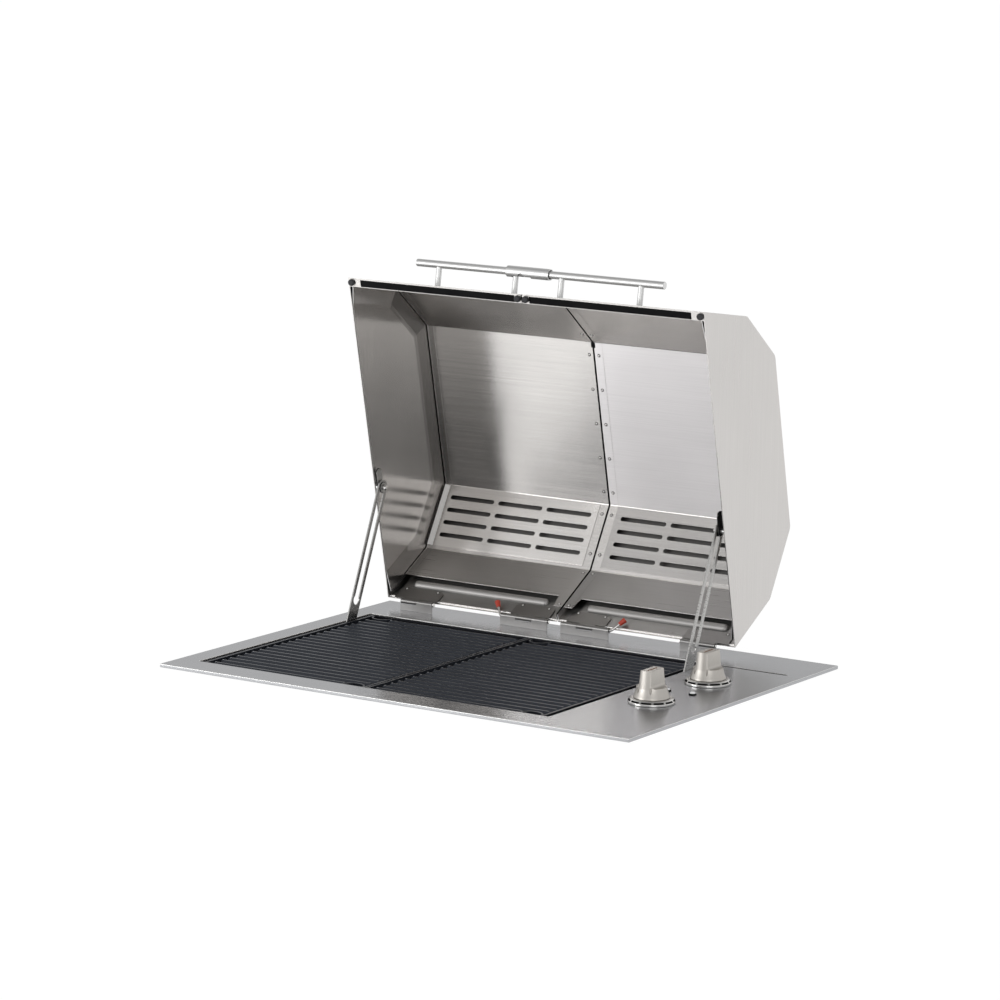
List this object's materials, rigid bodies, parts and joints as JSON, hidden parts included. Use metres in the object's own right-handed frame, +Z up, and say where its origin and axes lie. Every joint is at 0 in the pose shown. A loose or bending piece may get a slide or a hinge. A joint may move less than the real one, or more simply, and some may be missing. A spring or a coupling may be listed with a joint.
{
  "type": "built-in electric grill",
  "caption": "Countertop flange with ribbed cooking plates, a faceted twin hood held open by slotted stays, a split bar handle with a coupling sleeve, and turn knobs.",
  "frame": {"origin": "middle of the bounding box's base, at the underside of the tub's floor, with the hood open", "axes": "+X to the right along the flange's front edge, seen from the front; +Y to the hood's hinges at the back; +Z up"},
  "size_m": [0.89, 0.79, 0.7753],
  "materials": {
    "brushed_sheet": "brushed stainless steel",
    "bright_metal": "bright stainless steel",
    "knob_metal": "satin, nickel coloured",
    "plate_iron": "seasoned, dark",
    "inner_sheet": "matt aluminised steel",
    "element_sheath": "dark oxidised sheath",
    "seal_rubber": "matt black",
    "lamp_lens": "glossy lens",
    "fitting_plastic": "matt grey"
  },
  "bodies": {
    "base": {"bench_clamp_front": "bright_metal", "bench_clamp_rear": "bright_metal", "control_box": "inner_sheet", "control_box_cover": "inner_sheet", "cooking_plate_left": "plate_iron", "cooking_plate_right": "plate_iron", "element_rack": "inner_sheet", "flange_plate": "brushed_sheet", "heating_element_front": "element_sheath", "heating_element_rear": "element_sheath", "hinge_base_inner_left": "brushed_sheet", "hinge_base_inner_right": "brushed_sheet", "hinge_base_outer_left": "brushed_sheet", "hinge_base_outer_right": "brushed_sheet", "hinge_pin_left": "bright_metal", "hinge_pin_right": "bright_metal", "indicator_lamp_left": "lamp_lens", "indicator_lamp_right": "lamp_lens", "inlet_gland": "fitting_plastic", "knob_bezel_front": "bright_metal", "knob_bezel_rear": "bright_metal", "plate_frame": "inner_sheet", "stay_pivot_left": "bright_metal", "stay_pivot_right": "bright_metal", "temperature_sensor_front": "bright_metal", "temperature_sensor_rear": "bright_metal", "terminal_block": "fitting_plastic", "thermostat_front": "inner_sheet", "thermostat_rear": "inner_sheet", "tray_runner_left": "inner_sheet", "tray_runner_right": "inner_sheet", "tub": "inner_sheet"},
    "hood_left": {"hood_skin_left": "brushed_sheet", "hood_liner_left": "brushed_sheet", "vent_panel_left": "brushed_sheet", "seam_channel_left": "brushed_sheet", "front_seal_left": "seal_rubber", "stiffener_bead_left": "bright_metal", "handle_left": "brushed_sheet", "hood_leaf_inner_left": "brushed_sheet", "hood_leaf_outer_left": "brushed_sheet"},
    "hood_right": {"hood_skin_right": "brushed_sheet", "hood_liner_right": "brushed_sheet", "vent_panel_right": "brushed_sheet", "seam_channel_right": "brushed_sheet", "front_seal_right": "seal_rubber", "stiffener_bead_right": "bright_metal", "handle_right": "brushed_sheet", "hood_leaf_inner_right": "brushed_sheet", "hood_leaf_outer_right": "brushed_sheet"},
    "release_pin_left": {"release_pin_left": "bright_metal"},
    "release_pin_right": {"release_pin_right": "bright_metal"},
    "sleeve": {"coupling_sleeve": "brushed_sheet"},
    "stay_left": {"stay_arm_left": "bright_metal", "stay_nut_left": "bright_metal"},
    "stay_right": {"stay_arm_right": "bright_metal", "stay_nut_right": "bright_metal"},
    "knob_front": {"knob_front": "knob_metal"},
    "knob_rear": {"knob_rear": "knob_metal"},
    "drip_tray": {"drip_tray": "bright_metal"}
  },
  "joints": [
    {"name": "hood_right_hinge", "type": "hinge", "parent": "base", "child": "hood_right", "pos_m": [-0.0705, 0.21198, 0.1655], "axis": [1, 0, 0], "range_deg": [0, 78.7]},
    {"name": "hood_left_hinge", "type": "hinge", "parent": "base", "child": "hood_left", "pos_m": [-0.0705, 0.21198, 0.1655], "axis": [1, 0, 0], "range_deg": [0, 78.7]},
    {"name": "stay_left_pivot", "type": "hinge", "parent": "base", "child": "stay_left", "pos_m": [-0.0705, 0.08068, 0.128], "axis": [1, 0, 0], "range_deg": [0, 81.04]},
    {"name": "stay_right_pivot", "type": "hinge", "parent": "base", "child": "stay_right", "pos_m": [-0.0705, 0.08068, 0.128], "axis": [1, 0, 0], "range_deg": [0, 81.04]},
    {"name": "release_pin_left_slide", "type": "slide", "parent": "hood_left", "child": "release_pin_left", "axis": [-1, 0, 0], "range_m": [0, 0.066]},
    {"name": "release_pin_right_slide", "type": "slide", "parent": "hood_right", "child": "release_pin_right", "axis": [1, 0, 0], "range_m": [0, 0.066]},
    {"name": "sleeve_slide", "type": "slide", "parent": "hood_left", "child": "sleeve", "axis": [-1, 0, 0], "range_m": [0, 0.026]},
    {"name": "knob_front_turn", "type": "hinge", "parent": "base", "child": "knob_front", "pos_m": [0.3425, -0.15852, 0.15], "axis": [0, 0, -1], "range_deg": [0, 270]},
    {"name": "knob_rear_turn", "type": "hinge", "parent": "base", "child": "knob_rear", "pos_m": [0.3425, 0.01648, 0.15], "axis": [0, 0, -1], "range_deg": [0, 270]},
    {"name": "drip_tray_slide", "type": "slide", "parent": "base", "child": "drip_tray", "axis": [0, -1, 0], "range_m": [0, 0.3]}
  ],
  "couplings": [
    {"joint": "hood_left_hinge", "follows": "hood_right_hinge", "ratio": 1},
    {"joint": "stay_left_pivot", "follows": "hood_right_hinge", "ratio": 1.0291},
    {"joint": "stay_right_pivot", "follows": "hood_right_hinge", "ratio": 1.0291}
  ]
}
